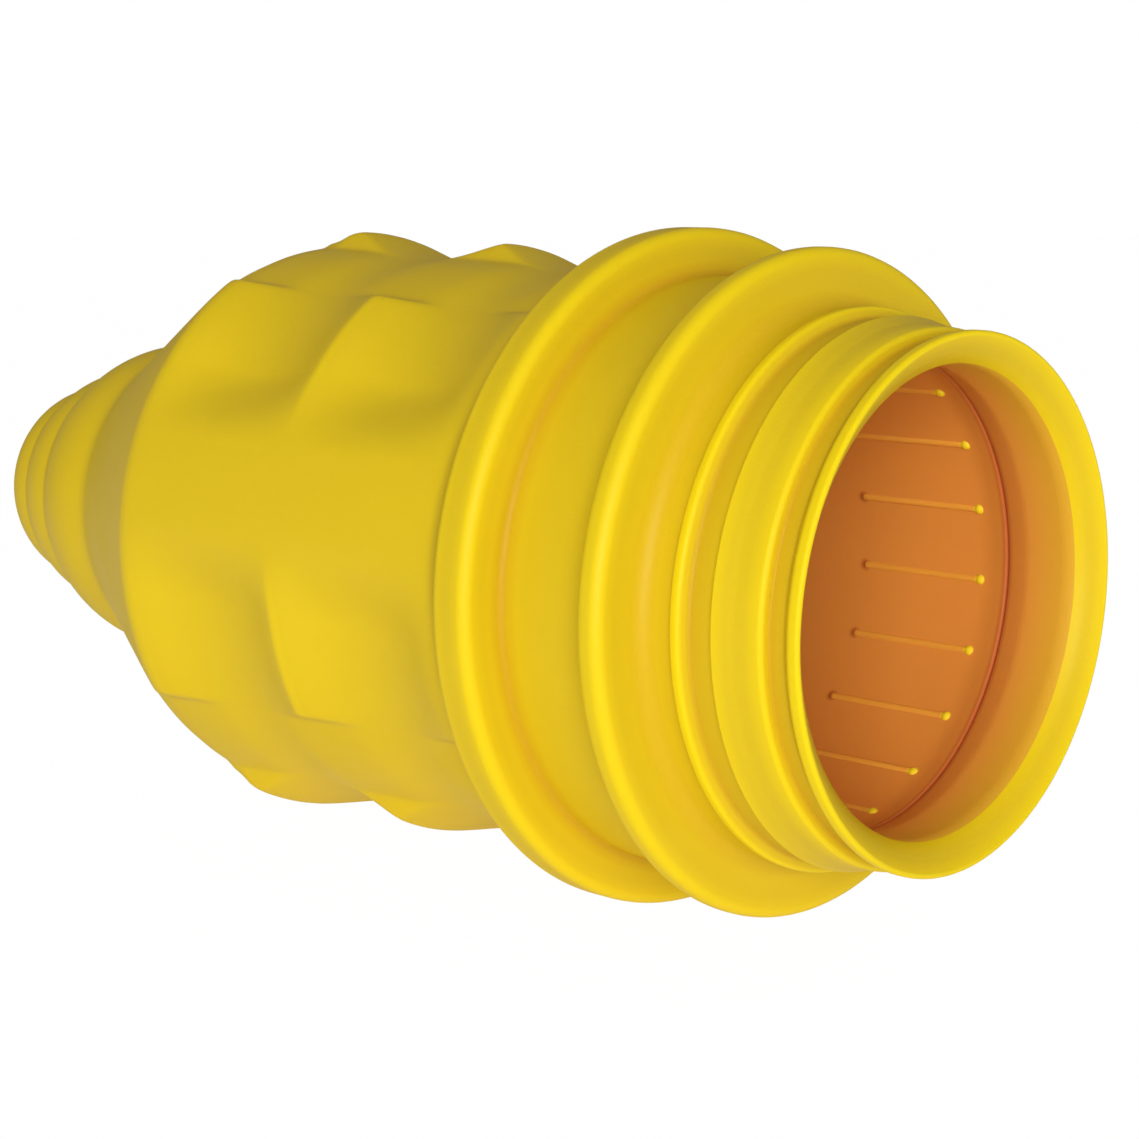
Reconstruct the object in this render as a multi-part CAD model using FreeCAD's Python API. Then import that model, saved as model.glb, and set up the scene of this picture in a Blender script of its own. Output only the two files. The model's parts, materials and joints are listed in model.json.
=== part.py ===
"""Weatherproof boot that covers the connector of a shore power cord.

The real boot is one soft PVC moulding. It is built here as its moulded zones,
each a closed ring of its own, which meet face to face along the boot's axis.
The axis is X, and the open mouth looks towards +X. All lengths are millimetres.
"Depth" is the distance from the mouth's inner edge back towards the cord.
A "wall" is measured from the mouth's bore, the main bore or the cord's bore outwards.
"""
import FreeCAD, Part
import math
import os

# Mouth and its lip, sized to the connector that it grips
mouth_bore_r = 24.5
mouth_land = 6.0
lip_wall = 3.4
lip_flare = 2.65
lip_bead_width = 1.6
lip_groove_wall = 2.3
lip_groove_width = 2.95

# Main bore behind the mouth, with the fine groove of the mould's parting line
bore_flare = 1.5
taper_to_parting_line = 2.8
taper_past_parting_line = 2.6
parting_groove_width = 0.6
parting_groove_height = 0.35

# Stepped nose in front of the flanges
band_front_wall = 3.5
band_rear_wall = 3.2
band_length = 5.5
ridge_groove_wall = 2.5
ridge_groove_width = 2.9
ridge_height = 1.3
ridge_width = 1.5
nose_root_wall = 3.3
nose_root_length = 3.9

# Two flanges with the seat of the locking ring between them
ring_seat_wall = 6.4
ring_seat_length = 13.0
front_flange_height = 3.4
front_flange_width = 3.2
rear_flange_height = 5.2
rear_flange_width = 4.4
rear_flange_slope = 2.7

# Grip body: smooth bands, with finger scoops in rows beside them
grip_front_wall = 8.9
grip_flare = 1.5
grip_front_land = 3.3
scoop_length = 22.3
scoop_depth = 2.8
crest_land = 1.4
shoulder_edge_land = 1.4
high_band_count = 3
high_band_angle = 15.0
high_band_half_width = 9.0
scoop_end_rounding = 4.6
low_band_half_width = 11.3
low_band_step = 0.15
row_overlap = 2.0

# Shoulder cone, and the rings of the neck that are trimmed to suit the cord
shoulder_length = 29.8
bore_cone_setback = 11.0
neck_root_land = 3.0
cord_bore_r = 8.75
trim_wall = 2.5
bore_step_length = 2.0
neck_root_wall = 12.15
large_ring_length = 11.5
large_ring_end_wall = 8.15
middle_ring_length = 8.2
middle_ring_end_wall = 5.4
small_ring_length = 8.3
small_ring_end_wall = 1.15

# Fine ribs inside the bore
rib_count = 20
rib_first_angle = 4.6
rib_setback = 1.0
rib_length = 15.7
rib_width = 0.6
rib_height = 0.35
rib_dot_r = 0.75
rib_dot_height = 0.5

# Edge roundings
edge_rounding = 0.6
flange_rounding = 1.3
nose_root_rounding = 2.2
shoulder_edge_rounding = 2.0
shoulder_root_rounding = 11.0

# Radii worked out from the bores and the walls over them
bore_r = mouth_bore_r + bore_flare
lip_r = mouth_bore_r + lip_wall
lip_groove_r = mouth_bore_r + lip_groove_wall
band_front_r = mouth_bore_r + band_front_wall
band_rear_r = bore_r + band_rear_wall
ridge_groove_r = bore_r + ridge_groove_wall
ridge_r = ridge_groove_r + ridge_height
nose_root_r = bore_r + nose_root_wall
ring_seat_r = bore_r + ring_seat_wall
front_flange_r = ring_seat_r + front_flange_height
rear_flange_r = ring_seat_r + rear_flange_height
grip_front_r = bore_r + grip_front_wall
grip_rear_r = grip_front_r + grip_flare
neck_root_r = cord_bore_r + neck_root_wall
large_ring_end_r = cord_bore_r + large_ring_end_wall
middle_ring_end_r = cord_bore_r + middle_ring_end_wall
small_ring_end_r = cord_bore_r + small_ring_end_wall

# Depths at which the zones begin and end, worked out from their lengths
bead_end = -lip_flare + lip_bead_width
band_start = bead_end + lip_groove_width
groove_start = band_start + band_length
ridge_start = groove_start + ridge_groove_width
root_start = ridge_start + ridge_width
front_flange_start = root_start + nose_root_length
seat_start = front_flange_start + front_flange_width
rear_flange_start = seat_start + ring_seat_length
rear_slope_start = rear_flange_start + rear_flange_width
grip_start = rear_slope_start + rear_flange_slope
front_scoop_start = grip_start + grip_front_land
crest_middle = front_scoop_start + scoop_length + crest_land / 2
rear_scoop_start = crest_middle + crest_land / 2
shoulder_start = rear_scoop_start + scoop_length + shoulder_edge_land
grip_end = shoulder_start - shoulder_edge_land / 2
cone_end = shoulder_start + shoulder_length
neck_start = cone_end + neck_root_land
middle_ring_start = neck_start + large_ring_length
small_ring_start = middle_ring_start + middle_ring_length
neck_end = small_ring_start + small_ring_length
parting_line = mouth_land + taper_to_parting_line
bore_taper_end = parting_line + parting_groove_width + taper_past_parting_line
rib_start = bore_taper_end + rib_setback
rib_end = rib_start + rib_length

low_band_depth = scoop_depth + low_band_step
outside_r = 2 * rear_flange_r
same_spot = 1e-6

AXIS_POINT = FreeCAD.Vector(0, 0, 0)
AXIS = FreeCAD.Vector(1, 0, 0)


def x_of(depth):
    """X of a depth: the origin is in the middle of the mouth's straight land."""
    return mouth_land / 2 - depth


def point(depth, r):
    return FreeCAD.Vector(x_of(depth), 0, r)


def between(depth, depth_a, value_a, depth_b, value_b):
    """Straight line from one value to another over a stretch of the axis."""
    share = (depth - depth_a) / (depth_b - depth_a)
    return value_a + share * (value_b - value_a)


def grip_r(depth):
    """Outer radius of the grip's high bands, which widen a little to the shoulder."""
    return between(depth, grip_start, grip_front_r, shoulder_start, grip_rear_r)


def path(corners):
    """Edges through (depth, radius, rounding) corners, each corner rounded by an arc."""
    spots = [point(depth, r) for depth, r, rounding in corners]
    edges = []
    start = spots[0]
    for i in range(1, len(spots) - 1):
        to_last = spots[i - 1] - spots[i]
        to_next = spots[i + 1] - spots[i]
        room_before = to_last.Length * (0.9 if i == 1 else 0.45)
        room_after = to_next.Length * (0.9 if i == len(spots) - 2 else 0.45)
        half_turn = to_last.getAngle(to_next) / 2
        cut = min(corners[i][2] / math.tan(half_turn), room_before, room_after)
        arc_r = cut * math.tan(half_turn)
        to_last.normalize()
        to_next.normalize()
        inward = to_last + to_next
        inward.normalize()
        arc_start = spots[i] + to_last * cut
        arc_middle = spots[i] + inward * (arc_r / math.sin(half_turn) - arc_r)
        arc_end = spots[i] + to_next * cut
        edges.append(Part.LineSegment(start, arc_start).toShape())
        edges.append(Part.Arc(arc_start, arc_middle, arc_end).toShape())
        start = arc_end
    edges.append(Part.LineSegment(start, spots[-1]).toShape())
    return edges


def bore_outline():
    """Depth and radius of the whole bore, from the mouth's inner edge to the cord's end."""
    line_end = parting_line + parting_groove_width
    line_r = between(parting_line, mouth_land, mouth_bore_r, bore_taper_end, bore_r)
    line_end_r = between(line_end, mouth_land, mouth_bore_r, bore_taper_end, bore_r)
    large_ring_bore_r = large_ring_end_r - trim_wall
    middle_ring_bore_r = middle_ring_end_r - trim_wall
    return [
        (0.0, mouth_bore_r),
        (mouth_land, mouth_bore_r),
        (parting_line, line_r),
        (parting_line + parting_groove_width / 2, line_r + parting_groove_height),
        (line_end, line_end_r),
        (bore_taper_end, bore_r),
        (shoulder_start + bore_cone_setback, bore_r),
        (neck_start, large_ring_bore_r),
        (middle_ring_start - bore_step_length, large_ring_bore_r),
        (middle_ring_start, middle_ring_bore_r),
        (small_ring_start - bore_step_length, middle_ring_bore_r),
        (small_ring_start, cord_bore_r),
        (neck_end, cord_bore_r),
    ]


def bore_points(start, end):
    """Points along the bore under a zone, from its deep end back to its mouth end."""
    outline = bore_outline()

    def spot_at(depth):
        for (depth_a, r_a), (depth_b, r_b) in zip(outline, outline[1:]):
            if depth_a <= depth <= depth_b:
                return point(depth, between(depth, depth_a, r_a, depth_b, r_b))

    inside = [point(depth, r) for depth, r in outline if start < depth < end]
    return [spot_at(end)] + inside[::-1] + [spot_at(start)]


def ring_solid(start, end, outer_edges):
    """Turns the outline between a zone's outer edges and the bore into a closed ring."""
    first = outer_edges[0].valueAt(outer_edges[0].FirstParameter)
    last = outer_edges[-1].valueAt(outer_edges[-1].LastParameter)
    spots = [last] + bore_points(start, end) + [first]
    inner_edges = [Part.LineSegment(a, b).toShape()
                   for a, b in zip(spots, spots[1:]) if a.distanceToPoint(b) > same_spot]
    outline = Part.Wire(outer_edges + inner_edges)
    return Part.Face(outline).revolve(AXIS_POINT, AXIS, 360)


def sector(face, first_angle, last_angle):
    """Turns a face about the axis. Angles count from the side facing -Y, upwards to +Z."""
    placed = face.copy()
    placed.rotate(AXIS_POINT, AXIS, 90 - first_angle)
    return placed.revolve(AXIS_POINT, AXIS, first_angle - last_angle)


def mouth_lip():
    """Flared bead round the mouth, with a funnel in front and a groove behind."""
    floor_start = bead_end + lip_r - lip_groove_r
    return ring_solid(0.0, band_start, path([
        (0.0, mouth_bore_r, 0),
        (-lip_flare, lip_r, edge_rounding),
        (bead_end, lip_r, edge_rounding),
        (floor_start, lip_groove_r, edge_rounding),
        (band_start, lip_groove_r, 0),
    ]))


def nose_band():
    """Slightly tapered band behind the lip."""
    return ring_solid(band_start, groove_start, path([
        (band_start, lip_groove_r, 0),
        (band_start, band_front_r, edge_rounding),
        (groove_start, band_rear_r, edge_rounding),
        (groove_start, ridge_groove_r, 0),
    ]))


def nose_ridge():
    """Groove, and the narrow ridge behind it."""
    return ring_solid(groove_start, root_start, path([
        (groove_start, ridge_groove_r, 0),
        (ridge_start, ridge_groove_r, edge_rounding),
        (ridge_start, ridge_r, edge_rounding),
        (root_start, ridge_r, edge_rounding),
        (root_start, nose_root_r, 0),
    ]))


def nose_root():
    """Plain stretch with the hollow rounding that rises into the front flange."""
    flange_foot_r = nose_root_r + nose_root_rounding
    return ring_solid(root_start, front_flange_start, path([
        (root_start, nose_root_r, 0),
        (front_flange_start, nose_root_r, nose_root_rounding),
        (front_flange_start, flange_foot_r + edge_rounding, 0),
    ]))


def front_flange():
    """Flange in front of the locking ring's seat."""
    return ring_solid(front_flange_start, seat_start, path([
        (front_flange_start, ring_seat_r, 0),
        (front_flange_start, front_flange_r, flange_rounding),
        (seat_start, front_flange_r, flange_rounding),
        (seat_start, ring_seat_r, 0),
    ]))


def ring_seat():
    """Plain barrel that the locking ring turns on."""
    return ring_solid(seat_start, rear_flange_start, path([
        (seat_start, ring_seat_r, 0),
        (rear_flange_start, ring_seat_r, 0),
    ]))


def rear_flange():
    """Taller flange behind the seat, sloping down to the grip."""
    return ring_solid(rear_flange_start, grip_start, path([
        (rear_flange_start, ring_seat_r, 0),
        (rear_flange_start, rear_flange_r, flange_rounding),
        (rear_slope_start, rear_flange_r, flange_rounding),
        (grip_start, grip_front_r, 0),
    ]))


def grip_blank(start, end):
    """A stretch of the grip before the scoops and the low bands are taken out of it."""
    return ring_solid(start, end, path([(start, grip_r(start), 0), (end, grip_r(end), 0)]))


def shoulder_blank():
    """Rounded shoulder edge, and the cone that runs down to the neck."""
    return ring_solid(grip_end, neck_start, path([
        (grip_end, grip_r(grip_end), 0),
        (shoulder_start, grip_rear_r, shoulder_edge_rounding),
        (cone_end, neck_root_r, shoulder_root_rounding),
        (neck_start, neck_root_r, 0),
    ]))


def scoop_cutter(start, first_angle, last_angle):
    """Part of a thick ring whose round section leaves a scoop, rounded off at the first end."""
    section_r = (scoop_length ** 2 / 4 + scoop_depth ** 2) / (2 * scoop_depth)
    middle = start + scoop_length / 2
    centre = point(middle, grip_r(middle) - scoop_depth + section_r)
    circle = Part.Circle(centre, FreeCAD.Vector(0, 1, 0), section_r)
    cutter = sector(Part.Face(Part.Wire(circle.toShape())), first_angle, last_angle)
    turn = math.radians(first_angle)
    end_centre = FreeCAD.Vector(centre.x, -centre.z * math.cos(turn), centre.z * math.sin(turn))
    end_edges = [edge for edge in cutter.Edges
                 if edge.Curve.TypeId == "Part::GeomCircle"
                 and edge.Curve.Center.distanceToPoint(end_centre) < same_spot]
    return cutter.makeFillet(scoop_end_rounding, end_edges)


def low_band_cutter(middle_angle):
    """Takes a plain band down to just below the floors of the scoops beside it."""
    floor_start = grip_start + low_band_depth
    floor_end_r = grip_rear_r - 2 * low_band_depth
    floor_end = between(floor_end_r, grip_rear_r, shoulder_start, neck_root_r, cone_end)
    slope_top = grip_start - low_band_depth
    corners = [
        point(floor_start, grip_r(floor_start) - low_band_depth),
        point(floor_end, grip_r(floor_end) - low_band_depth),
        point(floor_end, outside_r),
        point(slope_top, outside_r),
        point(slope_top, grip_r(floor_start) + low_band_depth),
    ]
    face = Part.Face(Part.makePolygon(corners + corners[:1]))
    return sector(face, middle_angle - low_band_half_width, middle_angle + low_band_half_width)


def grip_cutters():
    """Cutters round the grip: a low band between high bands, and two rows of scoops beside each."""
    cutters = []
    pitch = 360.0 / high_band_count
    row_end = pitch / 2 - low_band_half_width + row_overlap
    for band in range(high_band_count):
        middle = high_band_angle + band * pitch
        cutters.append(low_band_cutter(middle + pitch / 2))
        for start in (front_scoop_start, rear_scoop_start):
            for side in (-1, 1):
                first = middle + side * high_band_half_width
                last = middle + side * row_end
                cutters.append(scoop_cutter(start, first, last))
    return cutters


def neck_ring(start, start_r, end, end_r):
    """A trim ring, which starts level with the axis and turns in like a dome."""
    length = end - start
    drop = start_r - end_r
    turn_r = (length ** 2 + drop ** 2) / (2 * drop)
    middle = start + length / 2
    middle_r = start_r - turn_r + math.sqrt(turn_r ** 2 - length ** 2 / 4)
    dome = Part.Arc(point(start, start_r), point(middle, middle_r), point(end, end_r))
    return ring_solid(start, end, [dome.toShape()])


def inner_ribs():
    """Fine ribs along the bore, each with a small raised dot at its mouth end."""
    bore = Part.makeCylinder(bore_r, rib_length + 2 * rib_dot_r, point(rib_end, 0), AXIS)
    corner = FreeCAD.Vector(x_of(rib_end), -rib_width / 2, bore_r - rib_height)
    bar = Part.makeBox(rib_length, rib_width, 2 * rib_height, corner)
    dot_base = point(rib_start, bore_r - rib_dot_height)
    dot = Part.makeCylinder(rib_dot_r, 2 * rib_dot_height, dot_base, FreeCAD.Vector(0, 0, 1))
    rib = bar.fuse(dot).common(bore)
    ribs = []
    for i in range(rib_count):
        angle = rib_first_angle + i * 360.0 / rib_count
        copy = rib.copy()
        copy.rotate(AXIS_POINT, AXIS, 90 - angle)
        ribs.extend(copy.Solids)
    return Part.makeCompound(ribs)


def build():
    """Every zone of the boot by its name, from the mouth to the cord."""
    cutters = grip_cutters()
    return {
        "mouth_lip": mouth_lip(),
        "nose_band": nose_band(),
        "nose_ridge": nose_ridge(),
        "nose_root": nose_root(),
        "front_flange": front_flange(),
        "ring_seat": ring_seat(),
        "rear_flange": rear_flange(),
        "grip_front": grip_blank(grip_start, crest_middle).cut(cutters),
        "grip_rear": grip_blank(crest_middle, grip_end).cut(cutters),
        "shoulder_cone": shoulder_blank().cut(cutters),
        "neck_ring_large": neck_ring(neck_start, neck_root_r, middle_ring_start, large_ring_end_r),
        "neck_ring_middle": neck_ring(middle_ring_start, large_ring_end_r,
                                      small_ring_start, middle_ring_end_r),
        "neck_ring_small": neck_ring(small_ring_start, middle_ring_end_r, neck_end, small_ring_end_r),
        "inner_ribs": inner_ribs(),
    }


os.makedirs("parts", exist_ok=True)
for name, shape in build().items():
    print(name, "solids", len(shape.Solids), "volume", round(shape.Volume), "valid", shape.isValid())
    shape.exportStep(f"parts/{name}.step")
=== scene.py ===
# %% [markdown]
# # A soft PVC cord boot
# This lesson dresses the CAD model of a weatherproof boot: a hollow yellow moulding that slides over the
# connector of a shore power cord. The CAD model is the fixed frame. It gives every zone's place and size,
# and nothing in it is moved. Blender adds one smooth skin in place of the CAD zones, the fine ribs in the
# bore, the moulded finish, a pale studio and the camera.

# %% Load the frame
import bmesh
import bpy
import json
import math
import numpy as np
from mathutils import Matrix, Vector


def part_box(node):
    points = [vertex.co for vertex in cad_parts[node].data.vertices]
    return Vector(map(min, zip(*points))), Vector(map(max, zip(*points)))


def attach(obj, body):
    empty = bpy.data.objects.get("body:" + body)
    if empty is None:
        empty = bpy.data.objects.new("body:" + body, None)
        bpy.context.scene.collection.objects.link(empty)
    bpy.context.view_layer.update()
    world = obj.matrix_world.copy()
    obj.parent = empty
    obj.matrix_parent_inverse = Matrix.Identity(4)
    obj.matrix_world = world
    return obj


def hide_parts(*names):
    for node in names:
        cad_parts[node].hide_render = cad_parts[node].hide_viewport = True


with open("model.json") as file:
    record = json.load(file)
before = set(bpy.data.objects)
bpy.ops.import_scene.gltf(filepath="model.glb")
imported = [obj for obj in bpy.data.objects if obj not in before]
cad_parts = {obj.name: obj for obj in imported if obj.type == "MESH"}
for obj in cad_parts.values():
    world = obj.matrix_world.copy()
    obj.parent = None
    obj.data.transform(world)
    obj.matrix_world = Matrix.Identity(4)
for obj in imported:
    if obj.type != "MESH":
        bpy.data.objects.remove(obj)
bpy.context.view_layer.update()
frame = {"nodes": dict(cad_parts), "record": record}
MM = 0.001
print("CAD nodes:", ", ".join(sorted(frame["nodes"])))

# %% [markdown]
# ## The camera
# The photograph was taken from beside the mouth and a little above it. The camera's place and lens were
# fitted to the ellipses of the mouth and the flanges, so they are written as real sizes: how far the camera
# stands from the mouth's centre, which way it turns, and how long its lens is. A lens shift isn't needed.

# %% Camera at the photograph's viewing angle
bore_mount = next(m for m in frame["record"]["mounts"] if m["name"] == "connector_bore")
mouth_x = bore_mount["pos_m"][0] + bore_mount["dims"]["length_mm"] * MM / 2
camera_azimuth = math.radians(43.08)
camera_elevation = math.radians(9.24)
camera_from_mouth = Vector((132.3, -197.8, 41.8)) * MM
lens_mm = 74.08
sensor_mm = 36.0

camera_data = bpy.data.cameras.new("photo_camera")
camera_data.lens = lens_mm
camera_data.sensor_width = sensor_mm
camera_data.clip_start = 0.01
camera_data.clip_end = 20.0
camera = bpy.data.objects.new("photo_camera", camera_data)
bpy.context.scene.collection.objects.link(camera)
towards_camera = Vector((
    math.sin(camera_azimuth) * math.cos(camera_elevation),
    -math.cos(camera_azimuth) * math.cos(camera_elevation),
    math.sin(camera_elevation),
))
camera.location = Vector((mouth_x, 0, 0)) + camera_from_mouth
camera.rotation_euler = (-towards_camera).to_track_quat("-Z", "Y").to_euler()
bpy.context.scene.camera = camera
print("camera stands", round(camera_from_mouth.length / MM), "mm from the mouth's centre")

# %% [markdown]
# ## Sizes taken from the frame
# Each CAD node is one zone of the moulding. Its box tells where the zone begins and ends along the axis and
# how far out it reaches, so the skin follows the CAD if the boot is ever made in another size. Only what a
# box can't tell, such as the depth of a groove, is named here.

# %% Zones along the axis
def zone(node):
    """Where a CAD zone starts and ends along the axis, and its outer radius."""
    low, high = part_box(node)
    return {"front": high.x, "back": low.x, "radius": high.y}


zones = {name: zone(name) for name in frame["nodes"]}
mouth_r = bore_mount["dims"]["r_mm"] * MM
cord_mount = next(m for m in frame["record"]["mounts"] if m["name"] == "cord_bore")
cord_r = cord_mount["dims"]["r_mm"] * MM
for name in ("mouth_lip", "front_flange", "rear_flange", "grip_front", "neck_ring_small"):
    print(name, {key: round(value / MM, 2) for key, value in zones[name].items()}, "mm")

# %% [markdown]
# ## Rounded outlines
# A moulding has no knife edges, because the steel mould is cut with round tools. An outline is written as
# corners, each with its own rounding, and a helper puts an arc in place of each corner. Bevelling the
# finished mesh would do the same, but a bevel is hard to steer where two edges lie close together.

# %% Helper that rounds the corners of an outline
def rounded(corners, arc_steps=7):
    """Points (x, r) of an outline whose corners (x, r, rounding) are replaced by arcs."""
    spots = [Vector(corner[:2]) for corner in corners]
    points = [spots[0]]
    for i in range(1, len(spots) - 1):
        to_last = spots[i - 1] - spots[i]
        to_next = spots[i + 1] - spots[i]
        room = 0.48 * min(to_last.length, to_next.length)
        half_turn = to_last.angle(to_next) / 2
        cut = min(corners[i][2] / math.tan(half_turn), room)
        if cut < 0.01 * MM:
            points.append(spots[i])
            continue
        arc_r = cut * math.tan(half_turn)
        inward = (to_last.normalized() + to_next.normalized()).normalized()
        centre = spots[i] + inward * (arc_r / math.sin(half_turn))
        first = spots[i] + to_last.normalized() * cut - centre
        last = spots[i] + to_next.normalized() * cut - centre
        sweep = first.angle_signed(last)
        for step in range(arc_steps + 1):
            turn = Matrix.Rotation(-sweep * step / arc_steps, 2)
            points.append(centre + turn @ first)
    points.append(spots[-1])
    return points


square_corner = rounded([(0, 0, 0), (5 * MM, 0, MM), (5 * MM, 5 * MM, 0)])
print("a square corner rounded by 1 mm gets", len(square_corner), "points")

# %% [markdown]
# ## The nose
# In front of the flanges the boot has a flared lip, a groove, a band that swells to a small ridge, a second
# groove and a narrow ridge ring. A locking ring and the connector's own nose press on these steps. The
# outline is drawn from the bore's edge outwards and then back along the outside.

# %% Outline of the lip and the stepped nose
lip, band, ridge, root = zones["mouth_lip"], zones["nose_band"], zones["nose_ridge"], zones["nose_root"]
lip_flare = 2.65 * MM
lip_bead_width = 1.6 * MM
lip_groove_r = mouth_r + 2.3 * MM
band_front_r = mouth_r + 3.5 * MM
band_swell_length = 2.4 * MM
band_middle_r = mouth_r + 3.85 * MM
groove_r = band["radius"] - 0.6 * MM
ridge_width = 1.5 * MM
nose_root_r = ridge["radius"] - 0.5 * MM
edge_r = 0.7 * MM

lip_front_x = mouth_x + lip_flare
bead_back_x = lip_front_x - lip_bead_width
nose = [
    (mouth_x, mouth_r, 0.12 * MM),
    (lip_front_x, lip["radius"], edge_r),
    (bead_back_x, lip["radius"], edge_r),
    (bead_back_x - (lip["radius"] - lip_groove_r), lip_groove_r, edge_r),
    (lip["back"], lip_groove_r, 0.3 * MM),
    (lip["back"], band_front_r, edge_r),
    (band["back"] + band_swell_length, band_middle_r, 3 * MM),
    (band["back"], band["radius"], 0.5 * MM),
    (band["back"], groove_r, 0.3 * MM),
    (ridge["back"] + ridge_width, groove_r, 0.5 * MM),
    (ridge["back"] + ridge_width * 0.7, ridge["radius"], 0.5 * MM),
    (ridge["back"], ridge["radius"], 0.4 * MM),
    (ridge["back"], nose_root_r, 0.3 * MM),
]
print("nose outline:", len(nose), "corners over", round((lip_front_x - root["front"]) / MM, 1), "mm")

# %% [markdown]
# ## The flanges
# Two round flanges stand on either side of a plain barrel, where a locking ring can turn without coming off.
# Their rims are well rounded, and each face runs into the barrel in a small hollow.

# %% Outline of the two flanges and the ring's seat
front_flange, seat, rear_flange = zones["front_flange"], zones["ring_seat"], zones["rear_flange"]
grip_front, grip_rear = zones["grip_front"], zones["grip_rear"]
rim_r = 1.3 * MM
seat_foot_r = 0.8 * MM
rear_flange_slope = 2.7 * MM
grip_front_r = seat["radius"] + 2.5 * MM

flanges = [
    (front_flange["front"], nose_root_r, 2.2 * MM),
    (front_flange["front"], front_flange["radius"], rim_r),
    (front_flange["back"], front_flange["radius"], rim_r),
    (front_flange["back"], seat["radius"], seat_foot_r),
    (rear_flange["front"], seat["radius"], seat_foot_r),
    (rear_flange["front"], rear_flange["radius"], rim_r),
    (rear_flange["back"] + rear_flange_slope, rear_flange["radius"], rim_r),
    (rear_flange["back"], grip_front_r, 3 * MM),
]
rims = [round(flange["radius"] / MM, 1) for flange in (front_flange, rear_flange)]
print("flange rims at", rims, "mm from the axis")

# %% [markdown]
# ## The grip, the shoulder and the neck
# The grip is a shallow cone that widens towards a rounded shoulder. From there a steeper cone runs down to
# three domed rings. The user cuts the neck off at the ring that suits the cord's thickness. Each dome starts
# level with the axis and curves in, so it is a quarter of a flat circle and is drawn by a formula.

# %% Outline from the shoulder to the cord's hole
shoulder = zones["shoulder_cone"]
shoulder_edge_x = grip_rear["back"] - 0.7 * MM
shoulder_edge_r = grip_rear["radius"] + 0.5 * MM
neck_rings = [zones["neck_ring_large"], zones["neck_ring_middle"], zones["neck_ring_small"]]
neck_root_land = 3.0 * MM
tip_r = cord_r + 1.15 * MM


def dome(ring, end_r, steps=12):
    """Points of one trim ring, from its level start to its turned-in end."""
    length = ring["front"] - ring["back"]
    drop = ring["radius"] - end_r
    turn_r = (length ** 2 + drop ** 2) / (2 * drop)
    points = []
    for step in range(1, steps + 1):
        along = length * step / steps
        r = ring["radius"] - turn_r + math.sqrt(turn_r ** 2 - along ** 2)
        points.append(Vector((ring["front"] - along, r)))
    return points


outer = rounded(nose + flanges + [
    (shoulder_edge_x, shoulder_edge_r, 5 * MM),
    (shoulder["back"] + neck_root_land, neck_rings[0]["radius"], 11 * MM),
    (shoulder["back"], neck_rings[0]["radius"], 0),
])
outer += dome(neck_rings[0], neck_rings[1]["radius"])
outer += dome(neck_rings[1], neck_rings[2]["radius"])
outer += dome(neck_rings[2], tip_r)
print("outer outline:", len(outer), "points, tip at", round(outer[-1].x / MM, 1), "mm")

# %% [markdown]
# ## The bore
# The mouth grips the connector with a short straight land. Behind it the bore opens slightly, crosses the
# fine dark line where two parts of the mould's core met, and stays wide as far as the shoulder. The neck's
# bore narrows in steps, one for each trim ring.

# %% Outline of the bore, from the cord's end back to the mouth
land_length = bore_mount["dims"]["length_mm"] * MM
bore_r = mouth_r + 1.5 * MM
parting_x = mouth_x - land_length - 2.8 * MM
parting_width = 0.6 * MM
parting_depth = 0.35 * MM
parting_r = mouth_r + 0.75 * MM
taper_end_x = parting_x - parting_width - 2.6 * MM
cone_start_x = shoulder_edge_x - 11 * MM
trim_wall = 2.5 * MM
bore_step = 2.0 * MM
ring_bores = [neck_rings[1]["radius"] - trim_wall, neck_rings[2]["radius"] - trim_wall, cord_r]
tip_edge_r = 0.4 * MM

inner = rounded([
    (neck_rings[2]["back"], tip_r, 0),
    (neck_rings[2]["back"], cord_r, tip_edge_r),
    (neck_rings[2]["front"], ring_bores[2], 1 * MM),
    (neck_rings[2]["front"] + bore_step, ring_bores[1], 1 * MM),
    (neck_rings[1]["front"], ring_bores[1], 1 * MM),
    (neck_rings[1]["front"] + bore_step, ring_bores[0], 1 * MM),
    (neck_rings[0]["front"], ring_bores[0], 4 * MM),
    (cone_start_x, bore_r, 4 * MM),
    (taper_end_x, bore_r, 20 * MM),
    (parting_x - parting_width, parting_r + 0.1 * MM, 0.2 * MM),
    (parting_x - parting_width / 2, parting_r + parting_depth, 0.2 * MM),
    (parting_x, parting_r, 0.2 * MM),
    (mouth_x - land_length, mouth_r, 4 * MM),
    (mouth_x, mouth_r, 0),
])
print("bore outline:", len(inner), "points, main bore", round(2 * bore_r / MM, 1), "mm across")

# %% [markdown]
# ## The grip's relief
# Three high bands and three low bands run along the grip, and beside each high band lie two rows of finger
# scoops. A scoop is a hollow with a circle's arc along the boot, and it fades out softly at the high band.
# At the low band it stops at a wall. The mould opens in three parts, each pulled straight out from its high
# band, so that wall is flat, parallel to the pull, and stands a little wider towards the shoulder. Cutters
# and a Boolean could make the relief, but they leave long thin faces that shade badly. A formula gives the
# radius at any place along and round the grip instead, so the whole skin stays one even grid of faces.

# %% Sizes of the scoops and the low bands
band_count = 3
high_band_angle = math.radians(15.0)
high_band_half = math.radians(7.5)
scoop_length = 22.3 * MM
scoop_depth = 3.0 * MM
scoop_fade = 10.5 * MM
low_band_depth = 2.6 * MM
crest_softness = 1.3 * MM
wall_softness = 0.5 * MM
wall_offset_front = 23.1 * MM
wall_spread = 0.043
wall_first_angle = math.radians(20)
crest_x = grip_front["back"] + 0.4 * MM
crest_land = 1.4 * MM
scoop_middles = [crest_x + (crest_land + scoop_length) / 2, crest_x - (crest_land + scoop_length) / 2]
section_r = (scoop_length ** 2 / 4 + scoop_depth ** 2) / (2 * scoop_depth)
print("each scoop is an arc of", round(section_r / MM, 1), "mm,", round(scoop_depth / MM, 1), "mm deep")


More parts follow.
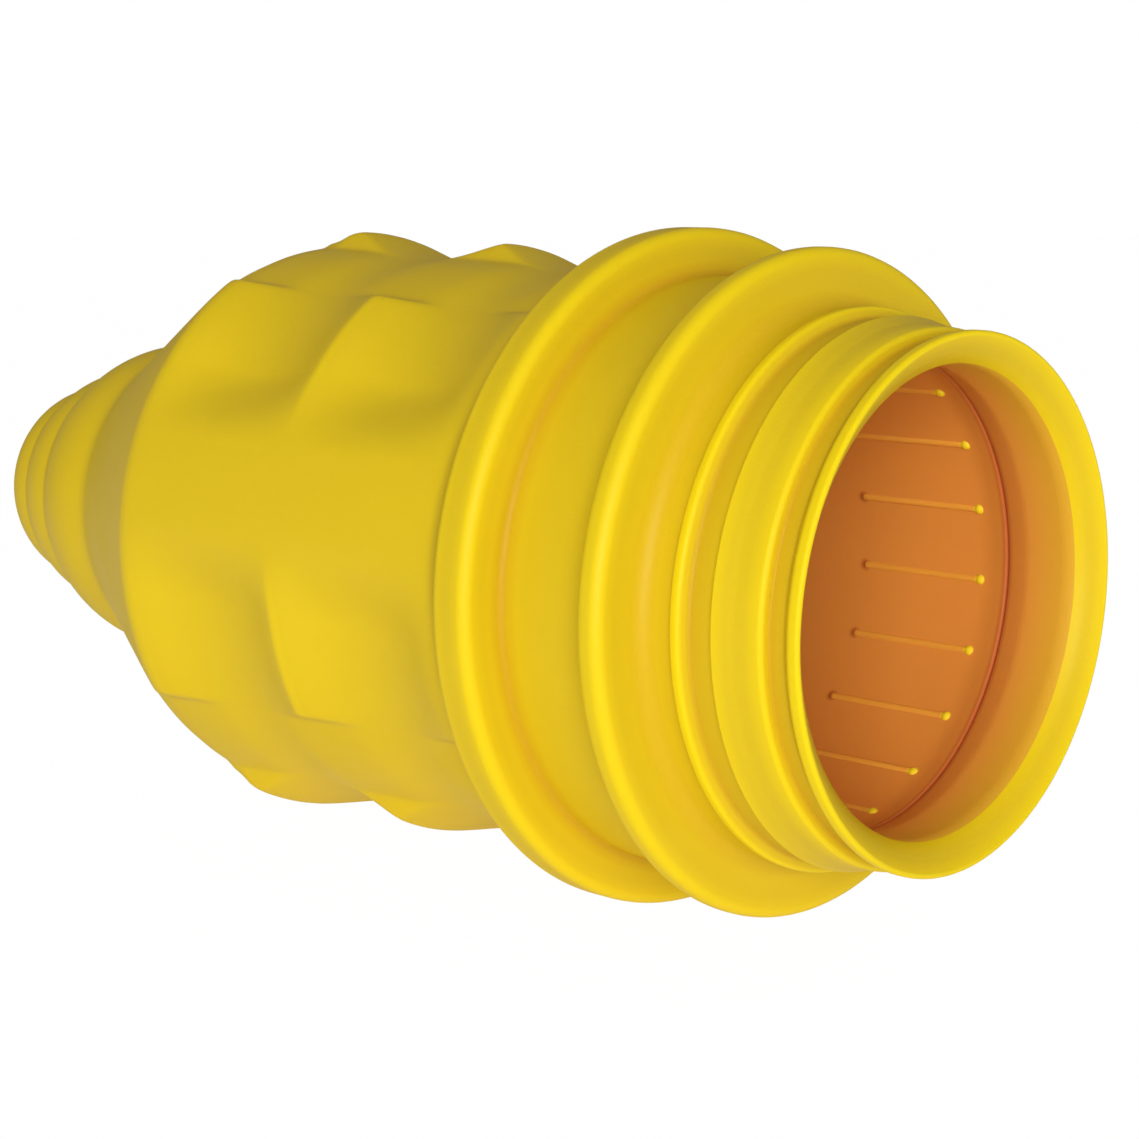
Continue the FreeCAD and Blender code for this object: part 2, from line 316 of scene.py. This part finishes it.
# %% Radii of the grip's surfaces
def grip_line(x):
    """Radius of the high bands along the grip."""
    share = (grip_front["front"] - x) / (grip_front["front"] - shoulder_edge_x)
    return grip_front_r + share * (shoulder_edge_r - grip_front_r)


def scoop_floor(x):
    """Radius of the scoops' floors along the grip."""
    arcs = [np.sqrt(np.maximum(section_r ** 2 - (x - middle) ** 2, 0)) for middle in scoop_middles]
    return grip_line(x) - (np.maximum(*arcs) - (section_r - scoop_depth))


def low_band_floor(x):
    """Radius of a low band, with a slope where it comes up to the rear flange."""
    return grip_line(x) - low_band_depth + np.maximum(x - (grip_front["front"] - low_band_depth), 0)


def wall_line(x, from_high):
    """Radius at which the flat wall beside a low band crosses a direction from the axis."""
    offset = wall_offset_front + wall_spread * (grip_front["front"] - x)
    return offset / np.sin(np.clip(from_high, wall_first_angle, math.pi / 2))


front_offset = wall_line(grip_front["front"], math.pi / 2)
print("the flat wall stands", round(front_offset / MM, 1), "mm beside the pull at the grip's front")


# %% Put the surfaces together
def soft_min(a, b, softness):
    """The smaller of two radii, with the corner between them rounded off."""
    return (a + b - np.sqrt((a - b) ** 2 + softness ** 2)) / 2


def soft_step(share):
    """A smooth rise from 0 to 1."""
    share = np.clip(share, 0, 1)
    return share * share * (3 - 2 * share)


def relief(x, r, angle):
    """Radius of the grip at a place along it and an angle round it."""
    pitch = 2 * math.pi / band_count
    from_high = np.abs((angle - high_band_angle + pitch / 2) % pitch - pitch / 2)
    in_scoop = soft_step((from_high - high_band_half) * r / scoop_fade)
    row = r + in_scoop * (soft_min(r, scoop_floor(x), crest_softness) - r)
    beside = -soft_min(-np.minimum(low_band_floor(x), r), -wall_line(x, from_high), wall_softness)
    return soft_min(row, beside, wall_softness)


print("grip radius at the middle crest:", round(grip_line(crest_x) / MM, 1), "mm")

# %% [markdown]
# ## One skin for the whole moulding
# The real boot is a single moulding with no seams between its zones, so one closed mesh stands for all the
# CAD zones. The outline is turned about the axis into rings of points. Rings lie close together where the
# scoops are, and columns lie close together at the ends and walls of the scoops, because a crisp edge needs
# points on both sides of it. A subdivision surface over a coarse cage would soften those edges.

# %% Rings along the boot and columns round it
relief_step = 0.45 * MM
plain_step = 2.5 * MM
relief_start = grip_front["front"] + 1 * MM
relief_end = shoulder_edge_x - 12 * MM
band_degrees = 360 / band_count
# From the middle of a high band: first and last degree of a stretch, and its number of columns.
column_stretches = [(0, 7, 5), (7, 24, 20), (24, 40, 11), (40, 53, 42), (53, 60, 5)]


def closely(points, step_for):
    """The outline with extra points, so that no step is longer than step_for allows."""
    close = [points[0]]
    for spot in points[1:]:
        gap = (spot - close[-1]).length
        parts = max(1, math.ceil(gap / step_for((spot.x + close[-1].x) / 2)))
        start = close[-1]
        close += [start.lerp(spot, part / parts) for part in range(1, parts + 1)]
    return close


def outer_step(x):
    """Longest step between rings, short where the relief is."""
    return relief_step if relief_end < x < relief_start else plain_step


def without_doubles(points):
    """The outline without points that lie on top of the one before."""
    kept = [points[0]]
    for spot in points[1:]:
        if (spot - kept[-1]).length > 0.02 * MM:
            kept.append(spot)
    return kept


outer_rings = without_doubles(closely(outer, outer_step))
inner_rings = without_doubles(closely(inner, lambda x: plain_step))
half_band = np.concatenate([
    np.linspace(first, last, count, endpoint=False) for first, last, count in column_stretches
])
one_band = np.unique(np.concatenate([half_band, band_degrees - half_band[1:], [band_degrees / 2]]))
all_bands = [np.radians(one_band + band_degrees * band) for band in range(band_count)]
columns = np.concatenate(all_bands) + high_band_angle
print(len(outer_rings), "outer rings,", len(inner_rings), "bore rings,", len(columns), "columns")

# %% Turn the outline into a mesh
def turned_grid(rings, columns, with_relief):
    """Vertices of rings turned about the axis, as an array of ring, column and coordinate."""
    x = np.array([spot.x for spot in rings])[:, None]
    r = np.array([spot.y for spot in rings])[:, None]
    angle = columns[None, :]
    x, r, angle = np.broadcast_arrays(x, r, angle)
    if with_relief:
        on_grip = (x < relief_start) & (x > relief_end)
        r = np.where(on_grip, relief(x, r, angle), r)
    return np.stack([x, -r * np.cos(angle), r * np.sin(angle)], axis=2)


grid = np.concatenate([
    turned_grid(outer_rings, columns, True),
    turned_grid(inner_rings[1:-1], columns, False),
])
ring_count, column_count = grid.shape[:2]
ring = np.arange(ring_count)[:, None]
column = np.arange(column_count)[None, :]
next_ring = (ring + 1) % ring_count
next_column = (column + 1) % column_count
faces = np.stack([
    ring * column_count + column,
    ring * column_count + next_column,
    next_ring * column_count + next_column,
    next_ring * column_count + column,
], axis=2).reshape(-1, 4)

skin_mesh = bpy.data.meshes.new("boot_skin")
skin_mesh.from_pydata(grid.reshape(-1, 3).tolist(), [], faces.tolist())
skin_mesh.validate()
skin_mesh.polygons.foreach_set("use_smooth", [True] * len(skin_mesh.polygons))
skin = bpy.data.objects.new("boot_skin", skin_mesh)
bpy.context.scene.collection.objects.link(skin)
skin_zones = [name for name in frame["nodes"] if name != "inner_ribs"]
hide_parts(*skin_zones)
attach(skin, "root")
print("skin:", len(skin_mesh.vertices), "points,", len(skin_mesh.polygons), "faces")

# %% Face directions
def open_edges(mesh):
    """How many edges of a mesh don't have exactly two faces."""
    return sum(1 for edge in mesh.edges if not edge.is_manifold)


skin_bm = bmesh.new()
skin_bm.from_mesh(skin_mesh)
bmesh.ops.recalc_face_normals(skin_bm, faces=skin_bm.faces)
skin_volume = skin_bm.calc_volume() / (10 * MM) ** 3
print("skin volume:", round(skin_volume, 1), "cubic cm, open edges:", open_edges(skin_bm))
skin_bm.to_mesh(skin_mesh)
skin_bm.free()

# %% [markdown]
# ## The fine ribs in the bore
# Twenty fine ribs lie on the bore's wall behind the parting line. They ease the boot off the mould's core
# and let air out when the connector goes in. Each is a low bead with rounded ends and a raised dot at its
# mouth end. A rib is a small height field wrapped on the bore, closed below by a floor that lies inside
# the wall, so it is a solid of its own. A bevelled curve would give the bead but not the dot.

# %% Height of a rib over the bore
rib_count = 20
rib_first_angle = math.radians(4.6)
rib_front_x = taper_end_x - 1.0 * MM
rib_length = 15.7 * MM
rib_half_width = 0.4 * MM
rib_height = 0.34 * MM
dot_r = 0.58 * MM
dot_height = 0.45 * MM
rib_root = 0.06 * MM
rib_floor_depth = 0.2 * MM
rib_inset = mouth_x - rib_front_x
print("ribs", round(rib_length / MM, 1), "mm long, from", round(rib_inset / MM, 1), "mm inside the mouth")


def rib_rise(along, across):
    """Height of a rib's bead or its dot over the bore, at a distance along and across it."""
    past_end = max(0.0, -along, along - rib_length)
    bead = 1 - (across ** 2 + past_end ** 2) / rib_half_width ** 2
    dot = 1 - (across ** 2 + along ** 2) / dot_r ** 2
    return max(rib_height * math.sqrt(max(bead, 0)), dot_height * math.sqrt(max(dot, 0)))


# %% Rows of points along a rib, close together at its dot and at its far end
past_dot = 1.1 * dot_r
dot_steps = [-past_dot + past_dot * i / 10 for i in range(20)]
bead_steps = [past_dot + 0.07 * rib_length * i for i in range(1, 14)]
end_steps = [rib_length + 0.3 * rib_half_width * i for i in range(-2, 5)]
along_steps = dot_steps + [step for step in bead_steps if step < end_steps[0]] + end_steps
across_steps = [past_dot * math.sin(math.pi / 2 * i / 9) for i in range(-9, 10)]
print("each rib has", len(along_steps), "rows of", len(across_steps), "points")

# %% Ribs as closed solids
rib_bm = bmesh.new()


def rib_point(along, across, rise, first_angle):
    """One corner of a rib on the bore's wall."""
    turn = first_angle + across / bore_r
    r = bore_r + rib_root - rise
    return rib_bm.verts.new((rib_front_x - along, -r * math.cos(turn), r * math.sin(turn)))


def sheet_edge(sheet):
    """The points round the edge of a sheet of rows, in order."""
    last_side = [row[-1] for row in sheet[1:]]
    first_side = [row[0] for row in sheet[-2:0:-1]]
    return sheet[0] + last_side + sheet[-1][-2::-1] + first_side


for index in range(rib_count):
    start = rib_first_angle + index * 2 * math.pi / rib_count
    top = [[rib_point(a, c, rib_rise(a, c), start) for c in across_steps] for a in along_steps]
    foot = [[rib_point(a, c, -rib_floor_depth, start) for c in across_steps] for a in along_steps]
    for sheet in (top, foot):
        for row, next_row in zip(sheet, sheet[1:]):
            for i in range(len(row) - 1):
                rib_bm.faces.new((row[i], row[i + 1], next_row[i + 1], next_row[i]))
    top_edge, foot_edge = sheet_edge(top), sheet_edge(foot)
    for i in range(len(top_edge)):
        j = (i + 1) % len(top_edge)
        rib_bm.faces.new((top_edge[i], top_edge[j], foot_edge[j], foot_edge[i]))
bmesh.ops.recalc_face_normals(rib_bm, faces=rib_bm.faces)
rib_volume = rib_bm.calc_volume() / MM ** 3 / rib_count
print("ribs:", rib_count, "solids of", round(rib_volume, 2), "cubic mm, open edges:", open_edges(rib_bm))

rib_mesh = bpy.data.meshes.new("bore_ribs")
rib_bm.to_mesh(rib_mesh)
rib_bm.free()
rib_mesh.polygons.foreach_set("use_smooth", [True] * len(rib_mesh.polygons))
ribs = bpy.data.objects.new("bore_ribs", rib_mesh)
bpy.context.scene.collection.objects.link(ribs)
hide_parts("inner_ribs")
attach(ribs, "root")

# %% [markdown]
# ## How far an edge stands out
# Soft PVC lets some light through, so thin rims and sharp crests look brighter and yellower than broad
# faces. The mesh knows where they are: a point on a crest lies further out than the mean of its neighbours
# a millimetre away. That distance is stored on the points, and the material reads it. Blender's own
# pointiness would do it too, but it depends on how dense the mesh is, and the export can't read it.

# %% Crest attribute on the skin
# The outside material reads this attribute to paint a highlight on rims and painted shade in hollows.
def ring_lengths(points):
    """Distance along the closed outline up to each ring, and all the way round."""
    steps = [(b - a).length for a, b in zip(points, points[1:] + points[:1])]
    return np.concatenate([[0], np.cumsum(steps)])


outline_points = outer_rings + inner_rings[1:-1]
places = ring_lengths(outline_points)
reach = 1.2 * MM
closed_grid = np.concatenate([grid, grid[:1]])


def at_place(along):
    """Grid rows interpolated at distances along the closed outline."""
    along = along % places[-1]
    index = np.clip(np.searchsorted(places, along, side="right") - 1, 0, ring_count - 1)
    share = ((along - places[index]) / (places[index + 1] - places[index]))[:, None, None]
    return closed_grid[index] * (1 - share) + closed_grid[index + 1] * share


ahead = at_place(places[:-1] + reach)
behind = at_place(places[:-1] - reach)
middle = (ahead + behind) / 2
normals = np.empty(len(skin_mesh.vertices) * 3)
skin_mesh.vertices.foreach_get("normal", normals)
crest = ((grid - middle) * normals.reshape(grid.shape)).sum(axis=2) / (0.5 * reach)
crest_data = skin_mesh.attributes.new("crest", "FLOAT", "POINT")
crest_data.data.foreach_set("value", crest.reshape(-1))
print("crest runs from", round(float(crest.min()), 2), "to", round(float(crest.max()), 2))

# %% [markdown]
# ## Effects for the materials
# Three effects are shared by the skin outside, the bore and the ribs, so each is a node group with named
# inputs. The grain is the mould's own fine matt surface with a faint orange peel. The drift is how the
# pigment varies in soft clouds, drawn out along the boot the way the plastic flowed. The dust is a faint
# dulling from handling. Groups put out only colours, masks and heights. The shaders stay in the materials.

# %% Helpers for nodes
def new_group(name, inputs, outputs):
    """A shader node group with typed sockets, and its input and output nodes."""
    group = bpy.data.node_groups.new(name, "ShaderNodeTree")
    for socket, kind, default in inputs:
        made = group.interface.new_socket(name=socket, in_out="INPUT", socket_type=kind)
        made.default_value = default
    for socket, kind in outputs:
        group.interface.new_socket(name=socket, in_out="OUTPUT", socket_type=kind)
    return group, group.nodes.new("NodeGroupInput"), group.nodes.new("NodeGroupOutput")


def maths(tree, operation, a, b=None, clamp=False):
    """A maths node whose inputs are sockets or numbers."""
    node = tree.nodes.new("ShaderNodeMath")
    node.operation = operation
    node.use_clamp = clamp
    for socket, value in zip(node.inputs, (a, b)):
        if value is None:
            continue
        if isinstance(value, (int, float)):
            socket.default_value = value
        else:
            tree.links.new(value, socket)
    return node.outputs[0]


def noise(tree, vector, scale, detail):
    """A noise texture over a vector socket."""
    node = tree.nodes.new("ShaderNodeTexNoise")
    node.inputs["Scale"].default_value = scale
    node.inputs["Detail"].default_value = detail
    tree.links.new(vector, node.inputs["Vector"])
    return node.outputs["Fac"]


def colour_mix(tree, share, a, b):
    """A colour mix whose share and colours are sockets or values."""
    node = tree.nodes.new("ShaderNodeMix")
    node.data_type = "RGBA"
    for socket, value in ((node.inputs[0], share), (node.inputs[6], a), (node.inputs[7], b)):
        if isinstance(value, bpy.types.NodeSocket):
            tree.links.new(value, socket)
        else:
            socket.default_value = value
    return node.outputs[2]


def scaled(tree, vector, factor):
    """A vector or a colour times a factor."""
    node = tree.nodes.new("ShaderNodeVectorMath")
    node.operation = "SCALE"
    tree.links.new(vector, node.inputs[0])
    tree.links.new(factor, node.inputs["Scale"])
    return node.outputs[0]


def share_between(tree, value, start, end, curve="LINEAR"):
    """A share that is 0 where a value is at start and 1 where it is at end."""
    node = tree.nodes.new("ShaderNodeMapRange")
    node.interpolation_type = curve
    node.inputs["From Min"].default_value = start
    node.inputs["From Max"].default_value = end
    tree.links.new(value, node.inputs["Value"])
    return node.outputs["Result"]


def place_on_boot(tree):
    """The shaded place in the boot's own coordinates, in metres."""
    return tree.nodes.new("ShaderNodeTexCoord").outputs["Object"]


def axes_of_place(tree):
    """The shaded place split into distances along the three axes."""
    node = tree.nodes.new("ShaderNodeSeparateXYZ")
    tree.links.new(place_on_boot(tree), node.inputs[0])
    return node.outputs


def placed(tree, group, values):
    """A node group placed in a material, with its own values."""
    node = tree.nodes.new("ShaderNodeGroup")
    node.node_tree = group
    for socket, value in values.items():
        node.inputs[socket].default_value = value
    return node


helpers = (new_group, maths, noise, colour_mix, scaled, share_between, place_on_boot, axes_of_place, placed)
print("helpers:", ", ".join(helper.__name__ for helper in helpers))

# %% Moulded grain
grain_group, grain_in, grain_out = new_group(
    "moulded_grain",
    [("Grain per mm", "NodeSocketFloat", 3.0), ("Peel", "NodeSocketFloat", 0.4)],
    [("Height", "NodeSocketFloat"), ("Speckle", "NodeSocketFloat")],
)
place = place_on_boot(grain_group)
per_metre = maths(grain_group, "MULTIPLY", grain_in.outputs["Grain per mm"], 1000.0)
fine = noise(grain_group, scaled(grain_group, place, per_metre), 1.0, 3.0)
peel = maths(grain_group, "MULTIPLY", noise(grain_group, place, 420.0, 1.0), grain_in.outputs["Peel"])
height = maths(grain_group, "ADD", fine, peel)
grain_group.links.new(height, grain_out.inputs["Height"])
grain_group.links.new(fine, grain_out.inputs["Speckle"])
print("moulded_grain:", len(grain_group.nodes), "nodes")

# %% Pigment drift
drift_group, drift_in, drift_out = new_group(
    "pigment_drift",
    [("Colour", "NodeSocketColor", (0.7, 0.5, 0.02, 1)), ("Amount", "NodeSocketFloat", 0.06)],
    [("Colour", "NodeSocketColor")],
)
drawn_out = drift_group.nodes.new("ShaderNodeVectorMath")
drawn_out.operation = "MULTIPLY"
drawn_out.inputs[1].default_value = (0.35, 1.0, 1.0)
drift_group.links.new(place_on_boot(drift_group), drawn_out.inputs[0])
clouds = noise(drift_group, drawn_out.outputs[0], 38.0, 3.0)
off_mean = maths(drift_group, "SUBTRACT", clouds, 0.5)
swing = maths(drift_group, "MULTIPLY", off_mean, drift_in.outputs["Amount"])
level = maths(drift_group, "ADD", maths(drift_group, "MULTIPLY", swing, 2.0), 1.0)
drifted = scaled(drift_group, drift_in.outputs["Colour"], level)
drift_group.links.new(drifted, drift_out.inputs["Colour"])
print("pigment_drift:", len(drift_group.nodes), "nodes")

# %% Handling dust
dust_group, dust_in, dust_out = new_group(
    "handling_dust",
    [("Amount", "NodeSocketFloat", 0.1)],
    [("Mask", "NodeSocketFloat")],
)
patches = noise(dust_group, place_on_boot(dust_group), 75.0, 4.0)
dusty = share_between(dust_group, patches, 0.45, 0.75)
mask = maths(dust_group, "MULTIPLY", dusty, dust_in.outputs["Amount"])
dust_group.links.new(mask, dust_out.inputs["Mask"])
print("handling_dust:", len(dust_group.nodes), "nodes")

# %% [markdown]
# ## The moulded PVC
# The boot's plastic is a warm, strong yellow with a satin skin. A Principled shader with a high roughness
# and a little subsurface scattering gives the soft, slightly glowing look of flexible PVC. Full gloss
# would look like hard plastic, and plain diffuse would look like chalk. Outside, the crest attribute
# chooses where a painted highlight brightens the rims and where painted shade browns the hollows at
# their roots.

# %% Base of a PVC material
grain_strength = 0.35
speckle_roughness = 0.08
dust_amount = 0.1


def new_pvc(name, colour, roughness, grain_per_mm, bump_distance):
    """A PVC material with grain, drift and dust, its shader and the colour that goes to it."""
    material = bpy.data.materials.new(name)
    material.use_nodes = True
    tree = material.node_tree
    shader = tree.nodes["Principled BSDF"]
    grain = placed(tree, grain_group, {"Grain per mm": grain_per_mm})
    drift = placed(tree, drift_group, {"Colour": (*colour, 1)})
    dust = placed(tree, dust_group, {"Amount": dust_amount})
    bump = tree.nodes.new("ShaderNodeBump")
    bump.inputs["Strength"].default_value = grain_strength
    bump.inputs["Distance"].default_value = bump_distance
    tree.links.new(grain.outputs["Height"], bump.inputs["Height"])
    tree.links.new(bump.outputs["Normal"], shader.inputs["Normal"])
    speckle = maths(tree, "MULTIPLY", grain.outputs["Speckle"], speckle_roughness)
    rough = maths(tree, "ADD", speckle, roughness - speckle_roughness / 2)
    rough = maths(tree, "ADD", rough, dust.outputs["Mask"], clamp=True)
    tree.links.new(rough, shader.inputs["Roughness"])
    tree.links.new(drift.outputs["Colour"], shader.inputs["Base Color"])
    shader.inputs["Specular IOR Level"].default_value = 0.18
    shader.inputs["Subsurface Weight"].default_value = 0.12
    shader.inputs["Subsurface Radius"].default_value = (1.0, 0.6, 0.08)
    shader.inputs["Subsurface Scale"].default_value = 1.5 * MM
    return material, tree, shader, drift.outputs["Colour"]


print("groups in every PVC material:", ", ".join(group.name for group in bpy.data.node_groups))

# %% PVC outside
pvc_colour = (0.76, 0.55, 0.011)
# Painted highlight: a brighter yellow on rims and crests, standing in for the light they catch.
rim_highlight_colour = (0.9, 0.68, 0.004)
# Painted shade: a browner colour in the hollows at the roots of rims.
valley_shade_colour = (0.6, 0.34, 0.008)
outside, tree, shader, colour = new_pvc(
    "yellow_pvc_outside", pvc_colour, roughness=0.46, grain_per_mm=3.0, bump_distance=0.06 * MM)
crest_node = tree.nodes.new("ShaderNodeAttribute")
crest_node.attribute_name = "crest"
on_rim_highlight = share_between(tree, crest_node.outputs["Fac"], 0.15, 1.1)
colour = colour_mix(tree, on_rim_highlight, colour, (*rim_highlight_colour, 1))
in_valley_shade = share_between(tree, crest_node.outputs["Fac"], -0.25, -1.3)
colour = colour_mix(tree, in_valley_shade, colour, (*valley_shade_colour, 1))
tree.links.new(colour, shader.inputs["Base Color"])
print("outside:", len(tree.nodes), "nodes")

# %% [markdown]
# ## The colour inside
# Light that reaches the bore has bounced off yellow walls several times, and each bounce takes more blue and
# green away, so the inside looks orange. The lights here do part of that, and a warmer colour painted on
# the bore does the rest. That colour is painted bounce light and shade, since the bore is the same plastic
# as the outside. It is mixed by the place along the boot: painted light makes it yellower near the mouth,
# it is darker on the line where two parts of the mould's core met, and painted shade darkens the spot of
# the small pit behind each rib. A painted image would need the bore unwrapped, while these masks are
# worked out from distances and stay sharp at any size.

# %% PVC in the bore
# Painted bounce light and shade: the bore is the same plastic as the outside, given a warmer orange.
bore_bounce_colour = (0.8, 0.31, 0.05)
# Painted light: a yellower colour towards the mouth, where more light reaches the bore.
land_lit_colour = (0.78, 0.44, 0.03)
parting_colour = (0.55, 0.13, 0.03)
# Painted shade: a dark colour on the spot of each pit behind a rib; the pit itself is not modelled.
pit_shade_colour = (0.5, 0.12, 0.02)
land_fade = 8 * MM
inside, tree, shader, colour = new_pvc(
    "yellow_pvc_bore", bore_bounce_colour, roughness=0.5, grain_per_mm=3.0, bump_distance=0.06 * MM)
axes = axes_of_place(tree)
near_mouth = share_between(tree, axes["X"], mouth_x - land_fade, mouth_x, "SMOOTHSTEP")
colour = colour_mix(tree, near_mouth, colour, (*land_lit_colour, 1))
from_parting = maths(tree, "SUBTRACT", axes["X"], parting_x - parting_width / 2)
on_parting = share_between(tree, maths(tree, "ABSOLUTE", from_parting), 0.9 * MM, 0.1 * MM)
colour = colour_mix(tree, on_parting, colour, (*parting_colour, 1))
print("bore colours so far:", len(tree.nodes), "nodes")

# %% Painted shade of the pits behind the ribs
rib_pitch = 2 * math.pi / rib_count
pit_x = rib_front_x - rib_length - 0.3 * MM
before_first_rib = rib_first_angle - rib_pitch * (rib_count + 0.5)
turn = maths(tree, "ARCTAN2", axes["Z"], maths(tree, "MULTIPLY", axes["Y"], -1.0))
in_pitches = maths(tree, "DIVIDE", maths(tree, "SUBTRACT", turn, before_first_rib), rib_pitch)
from_rib = maths(tree, "SUBTRACT", maths(tree, "FRACT", in_pitches), 0.5)
across = maths(tree, "MULTIPLY", from_rib, rib_pitch * bore_r)
along = maths(tree, "SUBTRACT", axes["X"], pit_x)
across_squared = maths(tree, "MULTIPLY", across, across)
along_squared = maths(tree, "MULTIPLY", along, along)
from_pit = maths(tree, "SQRT", maths(tree, "ADD", across_squared, along_squared))
on_pit_shade = share_between(tree, from_pit, 0.85 * MM, 0.3 * MM)
colour = colour_mix(tree, on_pit_shade, colour, (*pit_shade_colour, 1))
tree.links.new(colour, shader.inputs["Base Color"])
print("bore:", len(tree.nodes), "nodes")

# %% [markdown]
# ## The colour of the ribs
# The ribs are thin and stand out from the wall, so they catch more light, and the dot at each front end is
# brighter still. That light is painted: the ribs get a brighter orange than the bore, and the dots a painted
# highlight in yellow, chosen by the distance along the boot. They could be separate pieces, but on the real
# moulding a rib and its dot are one.

# %% PVC on the ribs
# Painted light: a brighter orange than the bore, for the light the ribs catch.
rib_lit_colour = (0.9, 0.4, 0.05)
# Painted highlight: a yellow for the dot at each rib's front end.
dot_highlight_colour = (0.95, 0.7, 0.02)
rib_pvc, tree, shader, colour = new_pvc(
    "yellow_pvc_ribs", rib_lit_colour, roughness=0.45, grain_per_mm=3.0, bump_distance=0.04 * MM)
axes = axes_of_place(tree)
on_dot_highlight = share_between(tree, axes["X"], rib_front_x - 1.3 * dot_r, rib_front_x - 0.6 * dot_r)
colour = colour_mix(tree, on_dot_highlight, colour, (*dot_highlight_colour, 1))
tree.links.new(colour, shader.inputs["Base Color"])
rib_mesh.materials.append(rib_pvc)
print("ribs:", len(tree.nodes), "nodes")

# %% [markdown]
# ## Outside or bore
# The skin is one mesh, and each of its faces is given one of two materials. The rings were made in order,
# first those outside and then those of the bore, so the ring's number tells which material a face gets.

# %% Which faces are bore
skin_mesh.materials.append(outside)
skin_mesh.materials.append(inside)
first_bore_ring = len(outer_rings) - 1
face_rings = np.repeat(np.arange(ring_count), column_count)
is_bore = (face_rings >= first_bore_ring).astype(int)
skin_mesh.polygons.foreach_set("material_index", is_bore.tolist())
print("bore faces:", int(is_bore.sum()), "of", len(skin_mesh.polygons))

# %% [markdown]
# ## The studio
# The photograph was taken on plain white with a broad, soft light near the camera. Here the boot lies on a
# pale floor that glows a little, as a lit table does, and a large area light stands near the camera's
# direction. A Light Path node shows the camera a plain white floor and sky, while the light that they throw
# on the boot stays low, so the boot keeps its shading. The Standard view keeps the yellow as strong as it
# is. Blender's own default view would pale it.

# %% Pale floor
boot_middle = Vector((neck_rings[2]["back"] / 2, 0, 0))
floor_z = -max(zone["radius"] for zone in zones.values())
floor_centre = (boot_middle.x, 0, floor_z)
bpy.ops.mesh.primitive_circle_add(vertices=96, radius=4.0, fill_type="NGON", location=floor_centre)
floor = bpy.context.object
floor.name = "studio_floor"
floor_material = bpy.data.materials.new("pale_floor")
floor_material.use_nodes = True
floor_shader = floor_material.node_tree.nodes["Principled BSDF"]
floor_shader.inputs["Base Color"].default_value = (0.8, 0.8, 0.8, 1)
floor_shader.inputs["Roughness"].default_value = 0.9
floor_shader.inputs["Specular IOR Level"].default_value = 0.1
floor_shader.inputs["Emission Color"].default_value = (1, 1, 1, 1)
floor_shader.inputs["Emission Strength"].default_value = 0.25
floor_nodes = floor_material.node_tree
seen_share = 0.99
glow = floor_nodes.nodes.new("ShaderNodeEmission")
glow.inputs["Color"].default_value = (1, 1, 1, 1)
glow.inputs["Strength"].default_value = 1.0
floor_path = floor_nodes.nodes.new("ShaderNodeLightPath")
seen_glow = maths(floor_nodes, "MULTIPLY", floor_path.outputs["Is Camera Ray"], seen_share)
floor_mix = floor_nodes.nodes.new("ShaderNodeMixShader")
floor_nodes.links.new(seen_glow, floor_mix.inputs[0])
floor_nodes.links.new(floor_shader.outputs[0], floor_mix.inputs[1])
floor_nodes.links.new(glow.outputs[0], floor_mix.inputs[2])
floor_nodes.links.new(floor_mix.outputs[0], floor_nodes.nodes["Material Output"].inputs["Surface"])
floor.data.materials.append(floor_material)
print("floor at", round(floor_z / MM, 2), "mm")

# %% Sky
world = bpy.data.worlds.new("studio")
world.use_nodes = True
bpy.context.scene.world = world
sky = world.node_tree
sky_light = sky.nodes["Background"]
sky_light.inputs["Color"].default_value = (1, 0.9, 0.78, 1)
sky_light.inputs["Strength"].default_value = 0.31
sky_seen = sky.nodes.new("ShaderNodeBackground")
sky_seen.inputs["Color"].default_value = (1, 1, 1, 1)
sky_seen.inputs["Strength"].default_value = 1.0
path = sky.nodes.new("ShaderNodeLightPath")
choice = sky.nodes.new("ShaderNodeMixShader")
sky.links.new(path.outputs["Is Camera Ray"], choice.inputs[0])
sky.links.new(sky_light.outputs[0], choice.inputs[1])
sky.links.new(sky_seen.outputs[0], choice.inputs[2])
sky.links.new(choice.outputs[0], sky.nodes["World Output"].inputs["Surface"])
print("sky lights with a strength of", round(sky_light.inputs["Strength"].default_value, 2))

# %% Soft lights
def soft_light(name, direction, distance, size, strength):
    """A square area light that stands in a direction from the boot and looks at it."""
    data = bpy.data.lights.new(name, "AREA")
    data.size = size
    data.energy = strength
    lamp = bpy.data.objects.new(name, data)
    bpy.context.scene.collection.objects.link(lamp)
    direction = Vector(direction).normalized()
    lamp.location = boot_middle + direction * distance
    lamp.rotation_euler = (-direction).to_track_quat("-Z", "Y").to_euler()


soft_light("key_light", direction=(0.7, -0.71, 0.12), distance=1.2, size=0.7, strength=13.6)
soft_light("mouth_light", direction=(1.0, 0.1, 0.25), distance=1.2, size=0.6, strength=0.15)
bpy.context.scene.view_settings.view_transform = "Standard"
